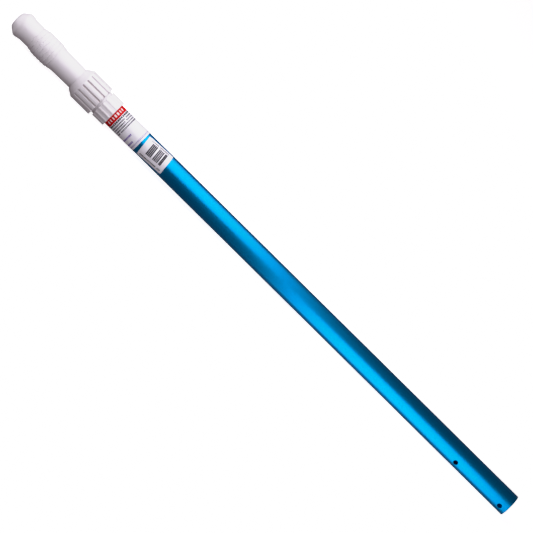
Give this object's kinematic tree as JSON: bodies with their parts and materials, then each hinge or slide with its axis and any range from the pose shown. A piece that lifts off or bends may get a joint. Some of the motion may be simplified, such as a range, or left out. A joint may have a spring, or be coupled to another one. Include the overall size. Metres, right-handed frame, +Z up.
{
  "type": "telescopic pole handle",
  "caption": "Telescopic tubular pole handle with a twist lock, moulded end grip and an open end with clip holes for push-in heads.",
  "frame": {"origin": "centre of the outer tube's open, holed end, on the pole's axis", "axes": "+X along the pole from the open end to the grip, +Z up, clip holes through the tube along Y"},
  "size_m": [0.889, 0.0452, 0.0452],
  "materials": {
    "anodised_tube": "satin bright blue anodising on drawn tube",
    "white_moulding": "white moulded ABS, soft gloss",
    "natural_nylon": "natural nylon, matt",
    "grey_acetal": "dark grey acetal, matt",
    "stainless": "turned stainless steel",
    "label_film": "printed white vinyl film"
  },
  "bodies": {
    "outer_pole": {"outer_tube": "anodised_tube", "lock_body": "white_moulding", "collar_screw": "stainless", "mouth_bush": "natural_nylon", "split_collet": "grey_acetal", "wrap_label": "label_film", "code_sticker": "label_film"},
    "nut_carrier": {"slip_ring": "natural_nylon"},
    "lock_nut": {"lock_nut": "white_moulding"},
    "glide": {"glide_ring": "natural_nylon"},
    "inner_pole": {"inner_tube": "anodised_tube", "glide_plug": "natural_nylon", "plug_pin": "stainless", "grip": "white_moulding", "grip_screw": "stainless"}
  },
  "joints": [
    {"name": "nut_travel", "type": "slide", "parent": "outer_pole", "child": "nut_carrier", "axis": [1, 0, 0], "range_m": [0, 0.003]},
    {"name": "nut_twist", "type": "hinge", "parent": "nut_carrier", "child": "lock_nut", "pos_m": [0.76, 0, 0], "axis": [1, 0, 0], "range_deg": [0, 360]},
    {"name": "inner_slide", "type": "slide", "parent": "outer_pole", "child": "glide", "axis": [1, 0, 0], "range_m": [0, 0.5295]},
    {"name": "inner_turn", "type": "hinge", "parent": "glide", "child": "inner_pole", "pos_m": [0.5, 0, 0], "axis": [1, 0, 0], "continuous": true}
  ],
  "couplings": [
    {"joint": "nut_travel", "follows": "nut_twist", "m_per_rad": 0.00047746}
  ]
}
